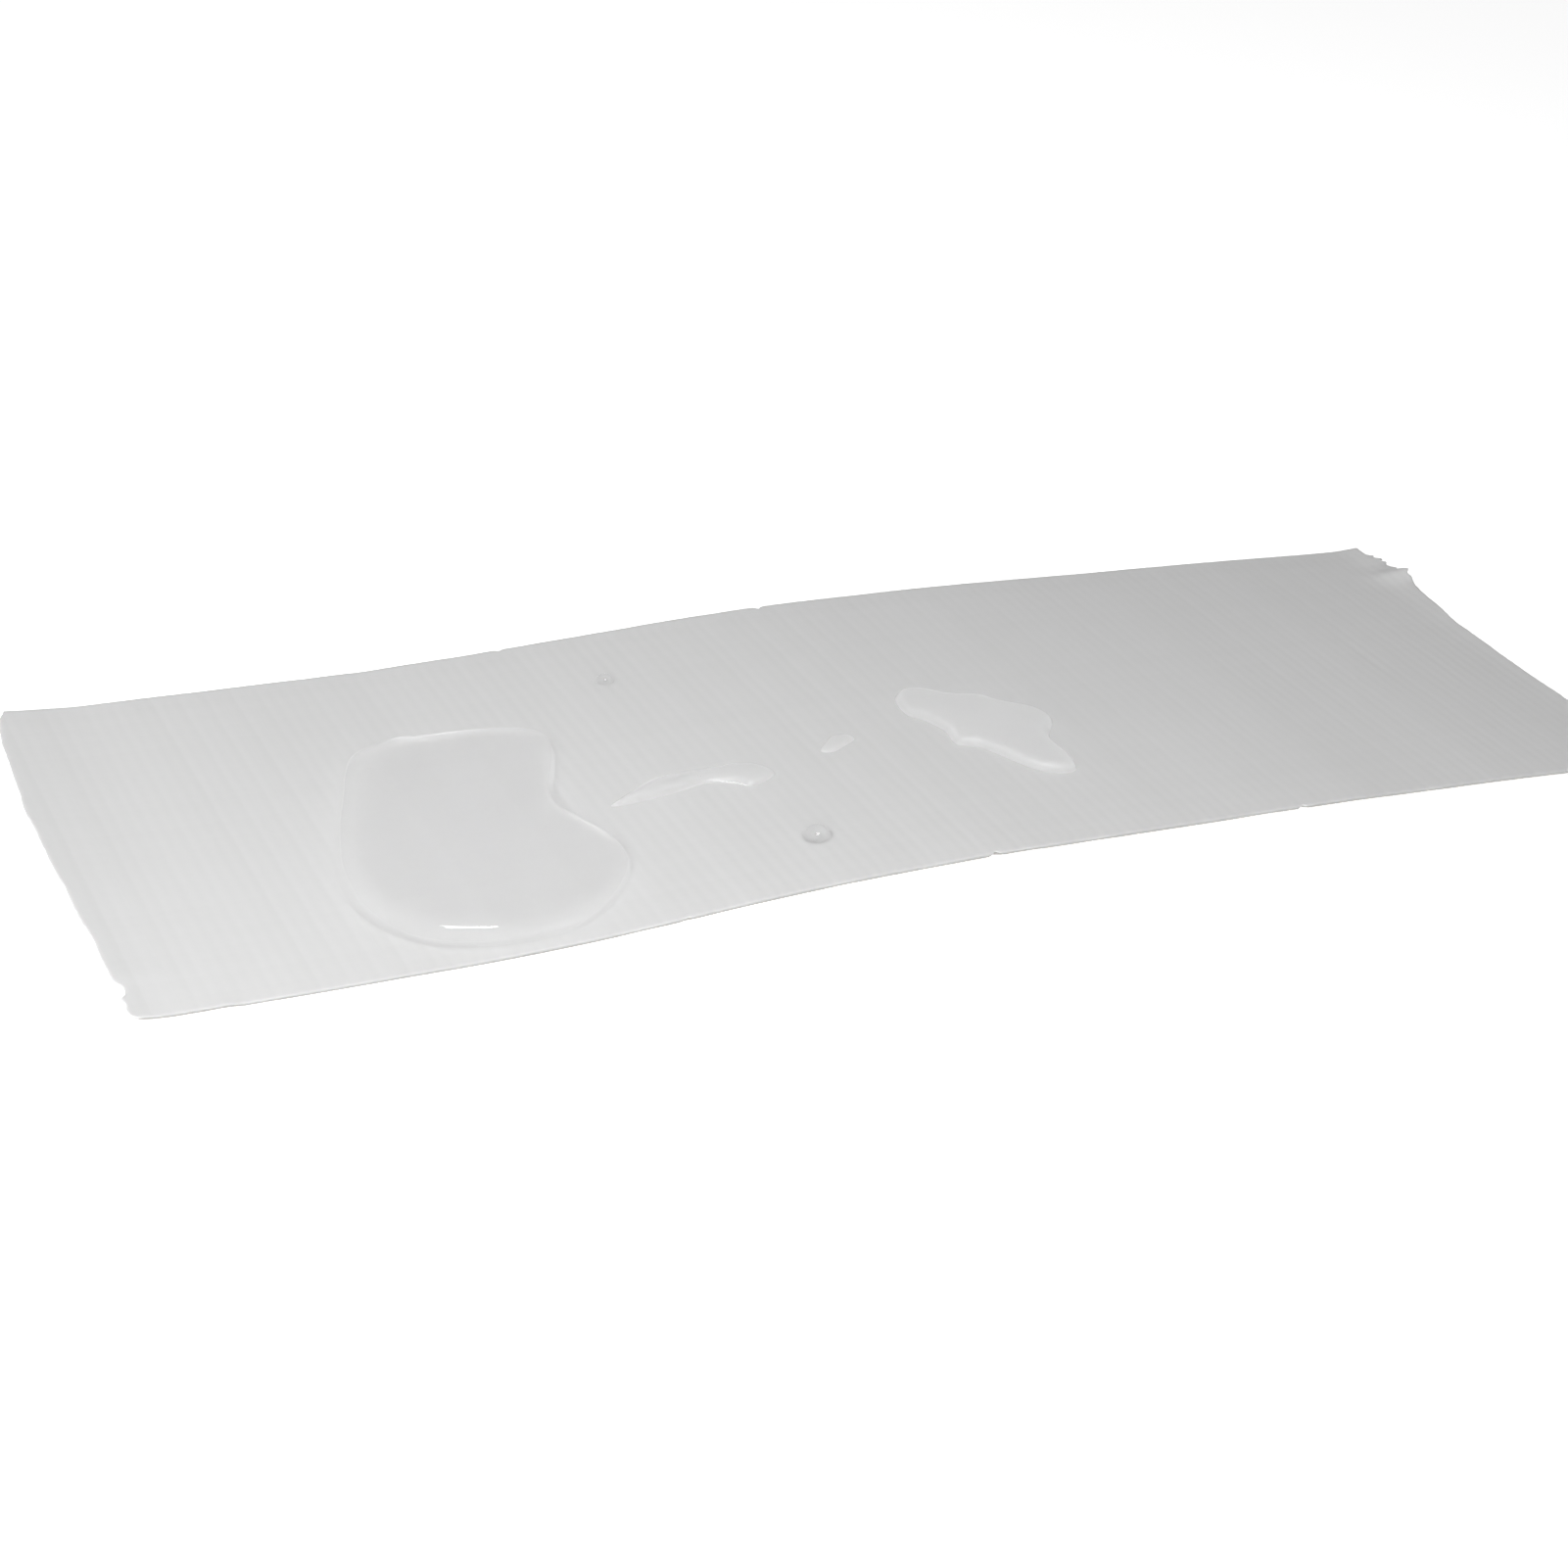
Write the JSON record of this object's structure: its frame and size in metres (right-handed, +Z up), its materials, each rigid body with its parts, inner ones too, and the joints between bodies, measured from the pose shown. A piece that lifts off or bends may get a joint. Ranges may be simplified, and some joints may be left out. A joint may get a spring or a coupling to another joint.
{
  "type": "torn strip of cloth tape",
  "caption": "Hand-torn strip of white cloth-backed tape lying relaxed on a flat surface, with clear water standing on its ribbed waterproof face.",
  "frame": {"origin": "on the resting plane, under the middle of the strip", "axes": "+X along the strip from its lifted torn end to its serrated torn end, +Y across it towards the far slit edge, +Z up"},
  "size_m": [0.1541, 0.05, 0.0036],
  "materials": {
    "film": "satin",
    "yarn": "woven",
    "adhesive": "tacky",
    "water": "clear"
  },
  "bodies": {
    "root": {"adhesive_layer": "adhesive", "warp_yarns": "yarn", "weft_yarns": "yarn", "face_film": "film", "water_pool": "water", "water_patch": "water", "water_trail": "water", "water_fleck": "water", "water_bead_front": "water", "water_bead_back": "water"}
  },
  "joints": []
}
